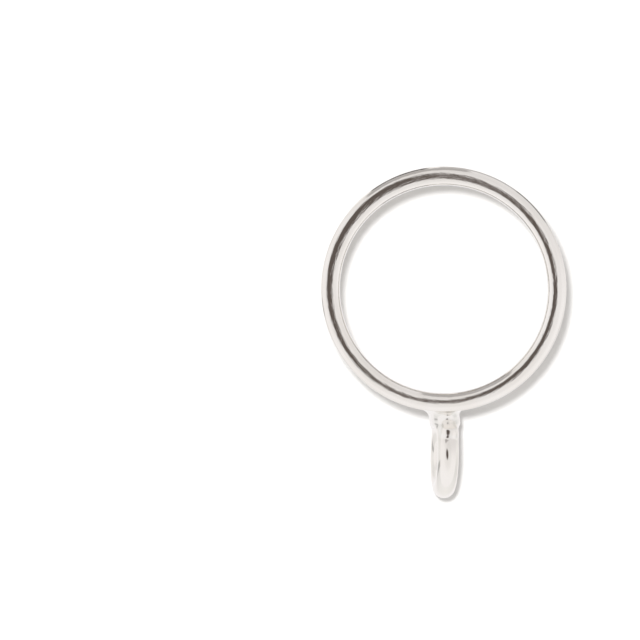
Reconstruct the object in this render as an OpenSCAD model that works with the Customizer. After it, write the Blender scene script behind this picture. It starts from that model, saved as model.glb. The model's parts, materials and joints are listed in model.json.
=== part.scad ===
// A slide-on ring bail: a short wide band that a cord goes through,
// with a small round wire loop soldered to its outside.
// It lies on one rim. The band's axis is Z, with its middle at the origin,
// and the loop points to -Y. Sizes are in millimetres.

/* [Band] */
// Outer diameter of the band
band_d = 12; // [9:0.5:20]
// Width of the band, from rim to rim
band_w = 6; // [5:0.5:10]
// Thickness of the band's wall
wall = 0.9; // [0.7:0.05:1.5]
// Rounding of the edges of both rims
rim_r = 0.3; // [0.1:0.05:0.34]

/* [Loop] */
// Outer diameter of the wire loop
loop_d = 4.2; // [3.6:0.1:4.6]
// Thickness of the loop's wire
wire_d = 1.05; // [1.05:0.05:1.3]
// Space between the band and the loop, which solder fills
loop_gap = 0.05; // [0:0.05:0.4]
// Twist of the loop about the line from the band's axis
loop_twist = 6; // [0:1:15]
// How far the loop sits off the band's middle
loop_shift = -0.3; // [-0.5:0.1:0.5]

/* [Solder] */
// Half the length of the straight middle of the solder, across the loop's wire ends
solder_spread = 0.7; // [0.2:0.05:0.8]
// Half the thickness of the solder where it meets the wire
neck_r = 0.5; // [0.4:0.02:0.52]
// Radius of the hollow curve where the solder spreads onto the band
flare_r = 0.46; // [0.2:0.02:0.5]

/* [Hidden] */
$fn = 128;

band_r = band_d / 2;
bore_r = band_r - wall;
wire_r = wire_d / 2;
loop_mid_r = loop_d / 2 - wire_r;
loop_centre = band_r + loop_gap + loop_d / 2;

// The solder starts halfway into the wall and ends on the wire's centre line
solder_root = band_r - wall / 2;
solder_h = loop_centre - loop_mid_r - solder_root;
foot_r = neck_r + flare_r;
// The band's round side falls away by foot_fall at the far edge of the twisted foot
foot_reach = foot_r + solder_spread * sin(loop_twist);
foot_fall = band_r - sqrt(pow(band_r, 2) - pow(foot_reach, 2));
foot_h = band_r - foot_fall - solder_root;

// Section of the wall: a rectangle with round corners
module wall_section() {
    corner_x = wall / 2 - rim_r;
    corner_y = band_w / 2 - rim_r;
    square([wall, 2 * corner_y], center = true);
    square([2 * corner_x, band_w], center = true);
    for (side_x = [-1, 1], side_y = [-1, 1])
        translate([side_x * corner_x, side_y * corner_y])
            circle(r = rim_r);
}

module band() {
    rotate_extrude()
        translate([bore_r + wall / 2, 0])
            wall_section();
}

// The wire ring, with its eye facing along X
module wire_loop() {
    translate([0, -loop_centre, 0])
        rotate([0, 90, 0])
            rotate_extrude()
                translate([loop_mid_r, 0])
                    circle(r = wire_r);
}

// Half section of the solder: a straight neck on a foot with a hollow edge
module solder_section() {
    square([neck_r, solder_h]);
    difference() {
        square([foot_r, foot_h + flare_r]);
        translate([foot_r, foot_h + flare_r])
            circle(r = flare_r);
    }
}

// The solder is oblong: a straight middle between two round ends
module solder() {
    translate([0, -solder_root, 0])
        rotate([90, 0, 0]) {
            for (side = [-1, 1])
                translate([0, side * solder_spread, 0])
                    rotate_extrude()
                        solder_section();
            rotate([90, 0, 0])
                linear_extrude(2 * solder_spread, center = true) {
                    solder_section();
                    mirror([1, 0])
                        solder_section();
                }
        }
}

module bail() {
    color("silver") {
        band();
        translate([0, 0, loop_shift])
            rotate([0, loop_twist, 0]) {
                wire_loop();
                solder();
            }
    }
}

bail();
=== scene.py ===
import json
import math

import bpy
import numpy as np
from mathutils import Matrix, Vector


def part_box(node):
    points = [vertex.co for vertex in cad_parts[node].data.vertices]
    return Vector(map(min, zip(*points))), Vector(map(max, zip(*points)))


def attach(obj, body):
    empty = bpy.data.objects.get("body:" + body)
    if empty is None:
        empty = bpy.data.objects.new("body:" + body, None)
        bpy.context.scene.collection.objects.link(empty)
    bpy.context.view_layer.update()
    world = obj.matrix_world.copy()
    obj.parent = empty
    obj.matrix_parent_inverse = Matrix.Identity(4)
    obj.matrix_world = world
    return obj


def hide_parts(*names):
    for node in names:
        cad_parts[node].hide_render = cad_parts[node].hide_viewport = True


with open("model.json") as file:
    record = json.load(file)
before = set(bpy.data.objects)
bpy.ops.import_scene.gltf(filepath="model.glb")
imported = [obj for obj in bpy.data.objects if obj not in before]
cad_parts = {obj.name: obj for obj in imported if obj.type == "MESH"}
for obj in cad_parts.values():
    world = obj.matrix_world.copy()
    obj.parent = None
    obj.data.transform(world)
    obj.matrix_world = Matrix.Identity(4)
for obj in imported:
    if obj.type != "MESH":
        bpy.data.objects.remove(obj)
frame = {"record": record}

scene = bpy.context.scene
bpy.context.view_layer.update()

# Sizes in this script are in millimetres, and each is multiplied by metre on its way into Blender.
metre = 0.001
tiny = 1e-9   # added to what is divided by, so that it is never zero

# The main sizes come from the frame. The band's axis is Z, and the wire loop points to -Y.
mounts = {mount["name"]: mount for mount in frame["record"]["mounts"]}
lowCorner, highCorner = (np.array(corner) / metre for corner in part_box("bail"))
bandRadius = highCorner[0]
bandHalfWidth = highCorner[2]
boreRadius = mounts["cord_bore"]["dims"]["r_mm"]
loopCentre = np.array(mounts["loop_eye"]["pos_m"]) / metre
loopAxis = np.array(mounts["loop_eye"]["axis"])
loopRadius = loopCentre[1] - lowCorner[1]


def unit(vectors):
    # each vector divided by its own length
    return vectors / np.linalg.norm(vectors, axis=-1, keepdims=True)


# Band: a short tube with plain faces and rounded rims
band = {
    "around": 480,            # cells round the band
    "rimCells": 32,           # cells over each rim, from face to face
    "rimHeight": 0.28,        # how far each rounded rim rises from the straight faces
    "rimPower": 2.5,          # 2 is an ellipse, more is squarer
    "rimPowerSwing": 0.28,    # the hand polish leaves one side of a rim flatter than the other
    "flatSide": -155,         # degrees from the loop to the flattest place
    "crownIn": 0.03,          # how far the rim's crest is worn towards the bore
    "innerRows": 8,           # rows of cells on the inner face
    "lowerRows": 4,           # rows on the outer face, from the lower rim to the solder's window
    "upperRows": 8,           # rows from the window to the upper rim
    "windowAcross": 44,       # cells of the window round the band
    "windowAlong": 56,        # cells of the window along the band's width
    "windowHalfHeight": 2.2,  # half the window's size along the band's width
}


def bandGrid():
    # The wall's closed outline, (radius, height), is carried round the circle: (r sin t, -r cos t, z), with
    # t = 0 at the loop. It runs up the outer face, over the rim as a superellipse
    # |x / a|^p + |y / b|^p = 1, down the inner face and round the lower rim.
    # Each rim is sheared towards the bore by c (y / b)^2. The normal is the gradient of the sum.
    t = np.radians(np.arange(band["around"]) * 360 / band["around"] - 180)[:, None]
    face = bandHalfWidth - band["rimHeight"]
    windowLow = loopCentre[2] - band["windowHalfHeight"]
    windowHigh = loopCentre[2] + band["windowHalfHeight"]
    outerZ = np.concatenate([
        np.linspace(-face, windowLow, band["lowerRows"] + 1)[:-1],
        np.linspace(windowLow, windowHigh, band["windowAlong"] + 1)[:-1],
        np.linspace(windowHigh, face, band["upperRows"] + 1)[:-1],
    ]) + 0 * t
    innerZ = np.linspace(face, -face, band["innerRows"] + 1)[:-1] + 0 * t

    halfWall = (bandRadius - boreRadius) / 2
    middle = (bandRadius + boreRadius) / 2
    power = band["rimPower"] + band["rimPowerSwing"] * np.cos(t - math.radians(band["flatSide"]))
    turn = np.linspace(0, np.pi, band["rimCells"] + 1)[:-1]
    across = np.sign(np.cos(turn)) * np.abs(np.cos(turn)) ** (2 / power)
    rise = np.sin(turn) ** (2 / power)
    shear = band["crownIn"] * rise ** 2
    slopeAcross = np.sign(across) * np.abs(across) ** (power - 1) / halfWall
    slopeRise = rise ** (power - 1) / band["rimHeight"]
    slopeRise = slopeRise + slopeAcross * 2 * band["crownIn"] * rise / band["rimHeight"]

    radius = np.concatenate([
        bandRadius + 0 * outerZ, middle + halfWall * across - shear,
        boreRadius + 0 * innerZ, middle - halfWall * across - shear], axis=1)
    height = np.concatenate([
        outerZ, face + band["rimHeight"] * rise,
        innerZ, -face - band["rimHeight"] * rise], axis=1)
    outwards = np.concatenate([1 + 0 * outerZ, slopeAcross, -1 + 0 * innerZ, -slopeAcross], axis=1)
    upwards = np.concatenate([0 * outerZ, slopeRise, 0 * innerZ, -slopeRise], axis=1)
    points = np.stack([radius * np.sin(t), -radius * np.cos(t), height], axis=-1)
    normals = unit(np.stack([outwards * np.sin(t), -outwards * np.cos(t), upwards], axis=-1))
    return points, normals


# Wire loop: a ring of round wire with its eye along loopAxis
wire = {
    "radius": 0.525,  # of the wire itself
    "around": 144,    # cells round the loop
    "section": 60,    # cells round the wire
    "bend": 0.08,     # how far the loop's far end is bent towards -X
}
wireCircle = loopRadius - wire["radius"]
towardsBand = np.array([0.0, 1.0, 0.0])
loopSide = np.cross(loopAxis, towardsBand)


def loopBend(inwards, side):
    # the bent loop's middle lies off its plane by b ((1 - cos f) / 2)^2, with f = 0 at the band
    cosine = inwards / (np.hypot(inwards, side) + tiny)
    return -wire["bend"] * ((1 - cosine) / 2) ** 2


def loopGrid():
    # A torus: from its centre go m + w cos s towards angle f of the loop, and w sin s along its axis.
    # Its points are then moved by the bend.
    f = np.radians(np.arange(wire["around"]) * 360 / wire["around"] - 180)[:, None, None]
    s = np.radians(np.arange(wire["section"]) * 360 / wire["section"] - 180)[None, :, None]
    ray = np.cos(f) * towardsBand + np.sin(f) * loopSide
    outwards = (wireCircle + wire["radius"] * np.cos(s)) * ray
    points = loopCentre + outwards + wire["radius"] * np.sin(s) * loopAxis
    return points + loopBend(np.cos(f), np.sin(f)) * loopAxis


# Solder: a neck that flows over band and wire, and a drop that ran onto the loop's shoulder
solder = {
    "rows": 36,                   # cells from the band's window to the loop's
    "centre": 0.33,               # middle of the neck, above the band
    "half": (0.62, 0.62, 1.36),   # half its size across the wire, out from the band and along its width
    "power": 2.6,                 # 2 is an ellipsoid, more is boxier
    "waist": 0.2,                 # height above the band that the first guess of the skin passes
    "footSide": 0.24,             # how far it flows over the band across the wire
    "footLeft": 0.36,             # more of that on the -X side
    "footLeftBlur": 0.12,         # width of the change from one side to the other
    "footEnd": 0.75,              # how far it flows along the band's width
    "footBlunt": 0.02,            # evens the flow out under the neck
    "collar": 0.60,               # how far it flows along the wire
    "collarFrom": 1.05,           # no further from the band than this
    "collarFull": 0.55,           # and in full up to this
    "drop": (0.21, -6.99, 1.13),  # middle of the drop
    "dropHalf": (0.44, 0.40, 0.49),  # half its size along X, Y and Z
    "dropFlow": 0.16,             # how far the drop flows over the wire
    "lump": 0.006,                # height of the lumps
    "lumpWaves": ((6.1, 4.3, 0.7), (-2.9, 5.2, 1.9)),  # radians for each mm of X, of Z, and at the start
    "relaxSteps": 240,            # rounds of evening out the skin's points
    "finishSteps": 24,            # more rounds, after each row is split in two
}


def smooth(value, low, high):
    # 0 below low, 1 above high, 3t^2 - 2t^3 between
    t = np.clip((value - low) / (high - low), 0, 1)
    return t * t * (3 - 2 * t)


def merge(first, second, reach, amount=1.0):
    # Smooth minimum of two distances: min(a, b) - m k h^2 / 4, where h = max(k - |a - b|, 0) / k and m is
    # the amount. With it comes m h, which is 0 where the two don't blend.
    share = np.maximum(reach - np.abs(first - second), 0) / reach
    return np.minimum(first, second) - amount * reach * share ** 2 / 4, share * amount


def toBlob(away, half):
    # About the distance to |x / a|^p + |y / b|^p + |z / c|^p = 1: with s the p-th root of the sum,
    # it is s - 1 over the length of the gradient of s.
    power = solder["power"]
    q = np.abs(away) / half + tiny
    size = np.sum(q ** power, axis=-1) ** (1 / power)
    slope = (q / size[..., None]) ** (power - 1) / half
    return (size - 1) / np.linalg.norm(slope, axis=-1)


def footReach(x, across, side):
    # How far the solder flows over the band: s + (e - s) w, where w = v / (v + u + d). Here v and u are the
    # squared places along the band's width and across the wire, each over the neck's half size.
    # The side towards -X has l (1 - w) / (1 + exp(x / b)) more.
    endways = (side / solder["half"][2]) ** 2
    endways = endways / (endways + (across / solder["half"][0]) ** 2 + solder["footBlunt"])
    reach = solder["footSide"] + (solder["footEnd"] - solder["footSide"]) * endways
    return reach + solder["footLeft"] * (1 - endways) / (1 + np.exp(x / solder["footLeftBlur"]))


def lumps(x, z):
    # product of two slanting waves, sin(a x + b z + c)
    waves = [np.sin(alongX * x + alongZ * z + start) for alongX, alongZ, start in solder["lumpWaves"]]
    return waves[0] * waves[1]


def solderField(p):
    # Distance to the metal: the wire is merged with the drop, both with the neck, and all with the band.
    # With it comes the solder's share in the surface, 0 where the metal is bare.
    away = p - loopCentre
    inwards = away @ towardsBand
    side = away @ loopSide
    across = away @ loopAxis - loopBend(inwards, side)
    toWire = np.hypot(np.hypot(inwards, side) - wireCircle, across) - wire["radius"]
    toDrop = toBlob(p - np.array(solder["drop"]), solder["dropHalf"])
    toWire, drop = merge(toWire, toDrop, solder["dropFlow"])

    bandAt = -bandRadius - loopCentre[1]   # the band's outside, counted inwards from the loop's centre
    fromNeck = np.stack([across, inwards - (bandAt - solder["centre"]), side], axis=-1)
    flow = smooth(inwards, bandAt - solder["collarFrom"], bandAt - solder["collarFull"])
    joined, collar = merge(toWire, toBlob(fromNeck, solder["half"]), solder["collar"], flow)

    toBand = np.hypot(p[..., 0], p[..., 1]) - bandRadius
    value, foot = merge(toBand, joined, footReach(p[..., 0], across, side))
    share = np.clip(foot + collar + drop, 0, 1)
    return value - solder["lump"] * share * lumps(p[..., 0], p[..., 2]), share


def fieldSlope(p, step=1e-4):
    # gradient of the field by central differences
    moves = np.eye(3) * step
    slopes = [(solderField(p + move)[0] - solderField(p - move)[0]) / (2 * step) for move in moves]
    return np.stack(slopes, axis=-1)


def toField(p, times=3):
    # Newton's method: move along the gradient by the field's value over its squared length
    for _ in range(times):
        slope = fieldSlope(p)
        p = p - slope * (solderField(p)[0] / np.sum(slope ** 2, axis=-1))[..., None]
    return p


def relax(skin, steps):
    # each inner point goes to half its own place and a quarter of the middle of each pair of neighbours,
    # and is then put back on the field
    for _ in range(steps):
        aside = (np.roll(skin, 1, axis=0) + np.roll(skin, -1, axis=0))[:, 1:-1] / 2
        ahead = (skin[:, :-2] + skin[:, 2:]) / 2
        skin[:, 1:-1] = toField(0.5 * skin[:, 1:-1] + 0.25 * aside + 0.25 * ahead, 1)
    return skin


def solderGrid(start, end):
    # Each column of the skin starts as a quadratic Bezier curve, (1 - t)^2 a + 2 t (1 - t) b + t^2 c,
    # that passes the neck's oval half-way. The skin is relaxed on the field, its rows are split in two,
    # and it is relaxed again.
    neck = np.array([0.0, -(bandRadius + solder["waist"]), loopCentre[2]])
    aside = start - neck
    aside[:, 1] = 0
    inOvals = np.hypot(aside[:, 0] / solder["half"][0], aside[:, 2] / solder["half"][2])[:, None]
    bend = 2 * (neck + aside / inOvals) - (start + end) / 2
    t = np.linspace(0, 1, solder["rows"] + 1)[None, :, None]
    skin = (1 - t) ** 2 * start[:, None] + 2 * t * (1 - t) * bend[:, None] + t ** 2 * end[:, None]
    skin[:, 1:-1] = toField(skin[:, 1:-1])
    skin = relax(skin, solder["relaxSteps"])

    finer = np.empty((len(skin), 2 * solder["rows"] + 1, 3))
    finer[:, ::2] = skin
    finer[:, 1::2] = (skin[:, 1:] + skin[:, :-1]) / 2
    finer = relax(finer, solder["finishSteps"])
    finer[:, 1:-1] = toField(finer[:, 1:-1])
    return finer


# The one metal piece, made of the three grids
def numberGrid(points, first):
    # one number for each point of a grid, counted from first
    return first + np.arange(points[..., 0].size).reshape(points.shape[:2])


def gridFaces(numbers, closedRows):
    # four corners of each cell of a grid of vertex numbers, closed across its first direction,
    # and across the second where the rows are closed
    right = np.roll(numbers, -1, axis=0)
    if closedRows:
        corners = [numbers, right, np.roll(right, -1, axis=1), np.roll(numbers, -1, axis=1)]
    else:
        corners = [numbers[:, :-1], right[:, :-1], right[:, 1:], numbers[:, 1:]]
    return np.stack(corners, axis=-1)


def withoutWindow(faces, columns, rows):
    # the grid's cells in one list, without those of the window
    keep = np.ones(faces.shape[:2], bool)
    keep[slice(*columns), slice(*rows)] = False
    return faces[keep]


def windowEdge(columns, rows):
    # grid places round a window: along the low side, up, back along the high side and down
    first, last = columns
    low, high = rows
    along = np.arange(first, last)
    up = np.arange(low, high)
    edgeColumns = np.concatenate([along, np.full(len(up), last), along[::-1] + 1, np.full(len(up), first)])
    edgeRows = np.concatenate([np.full(len(along), low), up, np.full(len(along), high), up[::-1] + 1])
    return edgeColumns, edgeRows


def foldedCells(points, normals, faces):
    # how many cells face against the normals of their corners
    corners = points[faces]
    facing = np.cross(corners[:, 2] - corners[:, 0], corners[:, 3] - corners[:, 1])
    return np.sum(np.sum(facing * normals[faces].sum(axis=1), axis=-1) <= 0)


def makeMesh(name, points, normals, faces, attributes):
    # one mesh from arrays, without the points that no face uses
    used = np.unique(faces)
    renumber = np.zeros(len(points), int)
    renumber[used] = np.arange(len(used))
    faces = renumber[faces]
    mesh = bpy.data.meshes.new(name)
    mesh.vertices.add(len(used))
    mesh.vertices.foreach_set("co", (points[used] * metre).ravel())
    mesh.loops.add(faces.size)
    mesh.loops.foreach_set("vertex_index", faces.ravel())
    mesh.polygons.add(len(faces))
    mesh.polygons.foreach_set("loop_start", np.arange(0, faces.size, 4))
    mesh.update(calc_edges=True)
    mesh.polygons.foreach_set("use_smooth", np.ones(len(faces), bool))
    for key, values in attributes.items():
        layer = mesh.attributes.new(key, "FLOAT", "POINT")
        layer.data.foreach_set("value", values[used].astype(np.float32))
    mesh.normals_split_custom_set_from_vertices(normals[used])
    piece = bpy.data.objects.new(name, mesh)
    scene.collection.objects.link(piece)
    return piece


def buildBail():
    # band and loop each lose a window of cells, and the solder's skin joins the edges of the two windows
    bandPoints, bandNormals = bandGrid()
    loopPoints = toField(loopGrid())
    bandNumbers = numberGrid(bandPoints, 0)
    loopNumbers = numberGrid(loopPoints, bandNumbers.size)
    print(f"band and wire loop: {bandNumbers.size + loopNumbers.size} points")

    # both windows have equally many cells on each side, and both lie at the joint
    halfAcross = band["windowAcross"] // 2
    halfAlong = band["windowAlong"] // 2
    roundBand = (band["around"] // 2 - halfAcross, band["around"] // 2 + halfAcross)
    upBand = (band["lowerRows"], band["lowerRows"] + band["windowAlong"])
    roundWire = (wire["section"] // 2 - halfAcross, wire["section"] // 2 + halfAcross)
    alongWire = (wire["around"] // 2 - halfAlong, wire["around"] // 2 + halfAlong)
    bandEdge = bandNumbers[windowEdge(roundBand, upBand)]
    loopEdge = loopNumbers.T[windowEdge(roundWire, alongWire)]
    bandFaces = withoutWindow(gridFaces(bandNumbers, True), roundBand, upBand)
    loopFaces = withoutWindow(gridFaces(loopNumbers, True), alongWire, roundWire)

    points = np.concatenate([bandPoints.reshape(-1, 3), loopPoints.reshape(-1, 3)])
    skin = solderGrid(points[bandEdge], points[loopEdge])
    inner = skin[:, 1:-1]
    skinNumbers = np.concatenate([
        bandEdge[:, None], numberGrid(inner, len(points)), loopEdge[:, None]], axis=1)
    skinFaces = gridFaces(skinNumbers, False).reshape(-1, 4)
    inner = inner.reshape(-1, 3)

    points = np.concatenate([points, inner])
    normals = np.concatenate([
        bandNormals.reshape(-1, 3),
        unit(fieldSlope(loopPoints)).reshape(-1, 3),
        unit(fieldSlope(inner)),
    ])
    print(f"solder skin: {len(inner)} points, {foldedCells(points, normals, skinFaces)} folded cells")
    share = np.zeros(len(points))
    share[-len(inner):] = solderField(inner)[1]
    faces = np.concatenate([bandFaces, loopFaces, skinFaces])
    return makeMesh("ring_bail", points, normals, faces, {"solder": share})


bail = buildBail()
print(f"ring bail: {len(bail.data.polygons)} faces")


# Shader maths for all the materials and the light tent
class Signal:
    # A socket that takes part in sums: each operator adds one Math node.
    def __init__(self, tree, socket=None):
        self.tree = tree
        self.socket = socket

    def node(self, kind, settings=None, sockets=None, output=0):
        # one node of any type: its settings first, then the values or links of its sockets
        made = self.tree.nodes.new(kind)
        for name, value in (settings or {}).items():
            if name == "stops":
                self.setStops(made.color_ramp, value)
            else:
                setattr(made, name, value)
        for name, value in (sockets or {}).items():
            if isinstance(value, Signal):
                self.tree.links.new(value.socket, made.inputs[name])
            else:
                made.inputs[name].default_value = value
        return Signal(self.tree, made.outputs[output] if made.outputs else None)

    def setStops(self, ramp, stops):
        # the ramp's stops from pairs of a place and a colour
        while len(ramp.elements) < len(stops):
            ramp.elements.new(1.0)
        for element, (place, colour) in zip(ramp.elements, stops):
            element.position = place
            element.color = colour

    def math(self, operation, *values):
        return self.node("ShaderNodeMath", {"operation": operation}, dict(enumerate(values)))

    def __add__(self, other):
        return self.math("ADD", self, other)

    def __radd__(self, other):
        return self.math("ADD", other, self)

    def __sub__(self, other):
        return self.math("SUBTRACT", self, other)

    def __rsub__(self, other):
        return self.math("SUBTRACT", other, self)

    def __mul__(self, other):
        return self.math("MULTIPLY", self, other)

    def __rmul__(self, other):
        return self.math("MULTIPLY", other, self)

    def __truediv__(self, other):
        return self.math("DIVIDE", self, other)

    def __rtruediv__(self, other):
        return self.math("DIVIDE", other, self)

    def __pow__(self, other):
        return self.math("POWER", self, other)

    def __abs__(self):
        return self.math("ABSOLUTE", self)

    def parts(self):
        # the X, Y and Z of a vector
        x = self.node("ShaderNodeSeparateXYZ", sockets={0: self})
        return [Signal(self.tree, output) for output in x.socket.node.outputs]

    def fade(self, low, high):
        # 0 at low, 1 at high, with soft ends, and the other way where low is above high
        return self.node("ShaderNodeMapRange", {"interpolation_type": "SMOOTHSTEP"},
                         {"Value": self, "From Min": low, "From Max": high})

    def blend(self, colour, otherColour):
        # a colour where this is 0, the other where it is 1
        return self.node("ShaderNodeMix", {"data_type": "RGBA"}, {0: self, 6: colour, 7: otherColour}, 2)


white = (1, 1, 1, 1)
black = (0, 0, 0, 1)


def emptyTree(owner):
    # the cleared nodes of a material or world, as a signal that makes nodes and has no socket itself
    owner.use_nodes = True
    owner.node_tree.nodes.clear()
    return Signal(owner.node_tree)


# Silver plate: polished by hand, with a faint orange peel
plate = {
    "silver": (0.93, 0.91, 0.885, 1),
    "warmSilver": (0.91, 0.885, 0.85, 1),   # comes in patches
    "solderTone": (0.92, 0.905, 0.88, 1),
    "patchScale": 0.45,           # scales are noise waves for each mm
    "patchEdge": (0.35, 0.65),    # noise levels between which a patch comes in
    "solderEdge": (0.1, 0.9),     # shares of solder between which its tone comes in
    "roughness": 0.045,
    "lineRoughness": 0.03,        # more in the polishing lines
    "solderRoughness": 0.07,      # more on the solder
    "lineAlong": 2.0,             # polishing lines round the band: waves for each radian
    "lineAcross": 14.0,           # and for each mm across
    "lineHeight": 0.0001,         # heights are in mm
    "streakAlong": 9.0,           # streaks on the rims, about 0.1 mm apart and 0.6 mm long
    "streakAcross": 10.0,
    "streakHeight": 0.006,
    "streakDepth": (0.35, 0.15),  # depths below the rim's crest between which they come in
    "rippleAcross": 2.2,          # slanting ripples: waves for each mm across the band
    "rippleAlong": 0.6,           # and along its axis
    "rippleHeight": 0.0014,
    "peelScale": 2.6,
    "peelHeight": 0.0009,
}


def silverPlate():
    # a silver mirror: noise bends it a little, tints it in patches and dulls it in the polishing lines
    material = bpy.data.materials.new("silver_plate")
    tree = emptyTree(material)
    place = tree.node("ShaderNodeTexCoord", output="Object")
    inMm = tree.node("ShaderNodeVectorMath", {"operation": "SCALE"}, {0: place, "Scale": 1 / metre})
    x, y, z = inMm.parts()
    radius = (x * x + y * y) ** 0.5
    joint = tree.node("ShaderNodeAttribute", {"attribute_name": "solder"}, output="Fac")

    # polishing lines: slow along, fast across
    along = plate["lineAlong"]
    across = plate["lineAcross"]
    ringWise = tree.node("ShaderNodeCombineXYZ", sockets={
        0: x / radius * along, 1: y / radius * along, 2: z * across})
    lines = tree.node("ShaderNodeTexNoise", {"noise_dimensions": "4D"}, {
        "Vector": ringWise, "W": radius * across, "Scale": 1.0, "Detail": 3.0, "Roughness": 0.6})

    # coarser streaks on the rims only
    along = plate["streakAlong"]
    sweep = tree.node("ShaderNodeCombineXYZ", sockets={0: x / radius * along, 1: y / radius * along})
    streaks = tree.node("ShaderNodeTexNoise", {"noise_dimensions": "4D"}, {
        "Vector": sweep, "W": radius * plate["streakAcross"], "Scale": 1.0, "Detail": 2.0})
    onRim = abs(z).fade(*[bandHalfWidth - depth for depth in plate["streakDepth"]])
    streaks = onRim * (streaks - 0.5)

    # ripples: the pattern turns by one radian for each radius of height
    slant = z * (1 / bandRadius)
    cosine = slant.math("COSINE", slant)
    sine = slant.math("SINE", slant)
    across = plate["rippleAcross"]
    turned = tree.node("ShaderNodeCombineXYZ", sockets={
        0: (x * cosine - y * sine) * across,
        1: (x * sine + y * cosine) * across,
        2: z * plate["rippleAlong"]})
    ripples = tree.node("ShaderNodeTexNoise", sockets={"Vector": turned, "Scale": 1.0, "Detail": 1.5})
    peel = tree.node("ShaderNodeTexNoise", sockets={
        "Vector": inMm, "Scale": plate["peelScale"], "Detail": 1.0})

    height = ripples * plate["rippleHeight"] + peel * plate["peelHeight"]
    height = height + lines * plate["lineHeight"] + streaks * plate["streakHeight"]
    bump = tree.node("ShaderNodeBump", sockets={"Height": height, "Distance": metre, "Strength": 1.0})

    # colour and roughness
    patches = tree.node("ShaderNodeTexNoise", sockets={
        "Vector": inMm, "Scale": plate["patchScale"], "Detail": 2.0})
    tone = patches.fade(*plate["patchEdge"]).blend(plate["silver"], plate["warmSilver"])
    tone = joint.fade(*plate["solderEdge"]).blend(tone, plate["solderTone"])
    roughness = plate["roughness"] + lines * plate["lineRoughness"] + joint * plate["solderRoughness"]
    shader = tree.node("ShaderNodeBsdfPrincipled", sockets={
        "Base Color": tone, "Metallic": 1.0, "Roughness": roughness, "Normal": bump})
    tree.node("ShaderNodeOutputMaterial", sockets={"Surface": shader})
    return material


bail.data.materials.append(silverPlate())
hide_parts("bail")
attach(bail, "root")
print("silver plate: on")

# Floor: white paper at the lower rim
paper = {
    "halfSide": 2000,
    "tone": (0.93, 0.93, 0.93, 1),
    "glow": 0.05,    # lifts the shadows a little
}


def layFloor():
    side = paper["halfSide"] * metre
    height = lowCorner[2] * metre
    corners = [(-side, -side, height), (side, -side, height), (side, side, height), (-side, side, height)]
    mesh = bpy.data.meshes.new("floor")
    mesh.from_pydata(corners, [], [(0, 1, 2, 3)])
    material = bpy.data.materials.new("paper_floor")
    tree = emptyTree(material)
    shader = tree.node("ShaderNodeBsdfPrincipled", sockets={
        "Base Color": paper["tone"], "Roughness": 1.0, "Specular IOR Level": 0.0,
        "Emission Color": white, "Emission Strength": paper["glow"]})
    tree.node("ShaderNodeOutputMaterial", sockets={"Surface": shader})
    mesh.materials.append(material)
    floor = bpy.data.objects.new("floor", mesh)
    floor.visible_glossy = False   # the metal shows the whole light tent instead
    scene.collection.objects.link(floor)


layFloor()
print("floor: laid")

# Light tent: what the polished metal shows. Its places are directions of length 1, so a height is a Z from
# -1 to 1. A pair named an edge says where a part of the tent comes in, and where it is there in full.
tent = {
    "light": (0.96, 0.938, 0.935, 1),     # most of the tent
    "nearLens": (0.87, 0.85, 0.842, 1),   # its top, a little duller
    "nearLensEdge": (0.65, 0.96),         # by height
    "dark": (0.078, 0.058, 0.048, 1),     # what the dim parts below fade to
    "lensAt": (-0.156, 0.066),    # X and Y of the middle of the dark patch overhead
    "lensTurn": 120,              # degrees from +X to its long side
    "lensHalf": (0.285, 0.225),   # half its length and width
    "lensEdge": (1.2, 0.55),      # shares of that half size
    "lensLowEdge": (0.0, 0.1),    # by height, so that it has no twin below
    "lensDepth": 0.95,
    "gapTop": 0.80,               # the dim gap towards +Y lies beyond this Y / Z
    "gapTopEdge": (-0.04, 0.08),
    "gapSkew": 0.30,              # and comes higher up towards -X
    "gapSide": 0.55,              # half its width, for each unit of Y
    "gapSideEdge": (-0.04, 0.06),
    "gapLean": 0.30,              # its middle leans towards -X
    "gapLowEdge": (-0.02, 0.05),  # by height
    "gapDepth": 0.56,
    "shadeTurn": 75,              # degrees from +X to the side where the tent is a little duller
    "shadeEdge": (0.0, 0.7),
    "shadeDepth": 0.17,
    # strips below the horizon, which the upright faces show: (degrees from -Y towards +X, level)
    "strips": ((-180, 0.55), (-179, 0.58), (-177, 1.0), (-174, 1.0), (-172, 0.05), (-145, 0.05),
               (-143, 0.98), (-115, 0.80), (-95, 0.90), (-87, 0.85), (-85, 0.50), (-79, 0.50),
               (-76, 0.80), (-40, 0.90), (0, 0.93), (40, 0.88), (70, 0.80), (95, 0.92),
               (112, 0.80), (122, 0.65), (124, 0.13), (142, 0.13), (144, 0.45), (180, 0.55)),
    "stripTint": (1.0, 0.985, 0.97),
    "stripTopEdge": (0.02, 0.12),      # by depth below the horizon
    "stripLowEdge": (0.85, 0.6),
    "floorSky": (1.03, 1.0, 0.96, 1),  # what lights the floor besides the lamp
    "floorSkyEdge": (0.45, 0.9),       # by height
}


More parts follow.
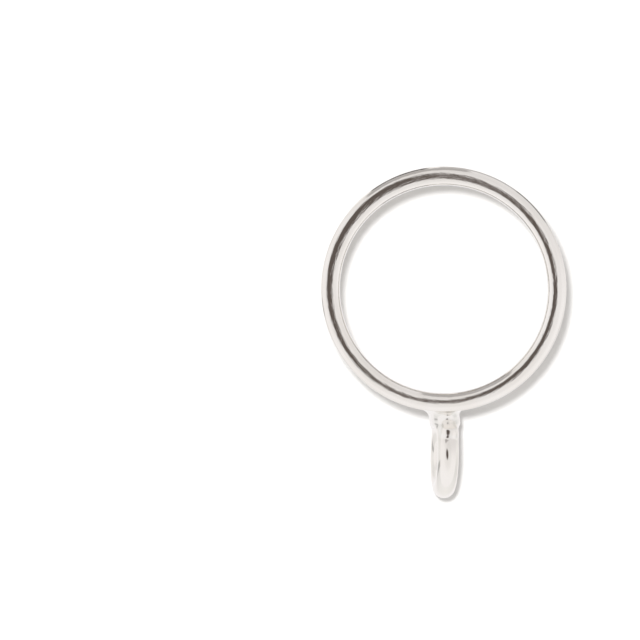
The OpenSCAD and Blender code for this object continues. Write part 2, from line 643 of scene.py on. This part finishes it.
def lightTent():
    world = bpy.data.worlds.new("light_tent")
    scene.world = world
    tree = emptyTree(world)
    x, y, z = tree.node("ShaderNodeTexCoord", output="Generated").parts()

    # overhead: duller at the top, with an oblong dark patch
    overhead = z.fade(*tent["nearLensEdge"]).blend(tent["light"], tent["nearLens"])
    turn = math.radians(tent["lensTurn"])
    lensX = x - tent["lensAt"][0]
    lensY = y - tent["lensAt"][1]
    lengthwise = (lensX * math.cos(turn) + lensY * math.sin(turn)) / tent["lensHalf"][0]
    crosswise = (lensY * math.cos(turn) - lensX * math.sin(turn)) / tent["lensHalf"][1]
    fromLens = (lengthwise ** 2 + crosswise ** 2) ** 0.5
    lens = fromLens.fade(*tent["lensEdge"]) * z.fade(*tent["lensLowEdge"]) * tent["lensDepth"]

    # a dim gap low down on one side, and a soft shade over much of that side
    belowTop = y - x * tent["gapSkew"] - z * tent["gapTop"]
    fromSide = y * tent["gapSide"] - abs(x + y * tent["gapLean"])
    gap = belowTop.fade(*tent["gapTopEdge"]) * z.fade(*tent["gapLowEdge"])
    gap = gap * fromSide.fade(*tent["gapSideEdge"]) * tent["gapDepth"]
    turn = math.radians(tent["shadeTurn"])
    shade = (x * math.cos(turn) + y * math.sin(turn)).fade(*tent["shadeEdge"]) * tent["shadeDepth"]
    dim = lens.math("MAXIMUM", lens, gap)
    overhead = dim.math("MAXIMUM", dim, shade).blend(overhead, tent["dark"])

    # below the horizon: strips of light and dark all round
    around = x.math("ARCTAN2", x, 0 - y) / (2 * math.pi) + 0.5
    stops = [(angle / 360 + 0.5, [level * part for part in tent["stripTint"]] + [1])
             for angle, level in tent["strips"]]
    strips = tree.node("ShaderNodeValToRGB", {"stops": stops}, {"Fac": around})
    depth = 0 - z
    below = depth.fade(*tent["stripTopEdge"]) * depth.fade(*tent["stripLowEdge"])
    seenInMetal = below.blend(overhead, strips)

    # the floor is lit by a plain sky, and the camera sees white past its edge
    floorSky = z.fade(*tent["floorSkyEdge"]).blend(black, tent["floorSky"])
    fromFloor = tree.node("ShaderNodeLightPath", output="Is Diffuse Ray")
    fromCamera = tree.node("ShaderNodeLightPath", output="Is Camera Ray")
    colour = fromCamera.blend(fromFloor.blend(seenInMetal, floorSky), white)
    background = tree.node("ShaderNodeBackground", sockets={"Color": colour})
    tree.node("ShaderNodeOutputWorld", sockets={"Surface": background})


lightTent()
print("light tent: up")

# Lamp: high overhead, for the shadow on the floor
lamp = {
    "turn": 122,      # degrees from +X
    "tilt": 4.4,      # degrees from straight overhead
    "height": 800,
    "radius": 25,     # of the bulb, which softens the shadow
    "watts": 15.7,
}


def hangLamp():
    light = bpy.data.lights.new("overhead_lamp", "POINT")
    light.energy = lamp["watts"]
    light.shadow_soft_size = lamp["radius"] * metre
    holder = bpy.data.objects.new("overhead_lamp", light)
    height = lamp["height"] * metre
    aside = height * math.tan(math.radians(lamp["tilt"]))
    turn = math.radians(lamp["turn"])
    holder.location = (aside * math.cos(turn), aside * math.sin(turn), height)
    holder.visible_glossy = False
    holder.visible_camera = False
    scene.collection.objects.link(holder)


hangLamp()
print("lamp: hung")

# Camera: over the upper rim, as far off as its long lens and the photo's scale ask
photoView = {
    "side": 640,               # pixels a side
    "pixelsPerMm": 20.45,      # at the upper rim
    "ringAt": (443.8, 289.2),  # where the middle of the upper rim shows
    "roll": 0.48,              # degrees
    "lens": 1400,
    "sensor": 36,
    "clip": (50, 10000),       # the nearest and the furthest that it sees
}


def placeCamera():
    # The camera stands over the rim's middle, and aims beside it so that the rim shows at ringAt.
    data = bpy.data.cameras.new("overhead_camera")
    data.lens = photoView["lens"]
    data.sensor_width = photoView["sensor"]
    data.clip_start, data.clip_end = (reach * metre for reach in photoView["clip"])
    distance = photoView["lens"] / photoView["sensor"] * photoView["side"] / photoView["pixelsPerMm"]
    ring = Vector((0, 0, bandHalfWidth))
    place = ring + Vector((0, 0, distance))
    roll = math.radians(photoView["roll"])
    right = Vector((math.cos(roll), -math.sin(roll), 0))
    up = Vector((math.sin(roll), math.cos(roll), 0))
    toRight = (photoView["ringAt"][0] - photoView["side"] / 2) / photoView["pixelsPerMm"]
    upwards = (photoView["side"] / 2 - photoView["ringAt"][1]) / photoView["pixelsPerMm"]
    aim = ring - right * toRight - up * upwards
    back = (place - aim).normalized()
    right = up.cross(back).normalized()
    up = back.cross(right)
    turn = Matrix((right, up, back)).transposed()
    camera = bpy.data.objects.new("overhead_camera", data)
    camera.matrix_world = Matrix.Translation(place * metre) @ turn.to_4x4()
    scene.collection.objects.link(camera)
    bpy.context.scene.camera = camera


placeCamera()
scene.view_settings.view_transform = "Standard"   # colours without a film curve
print("camera: in place")
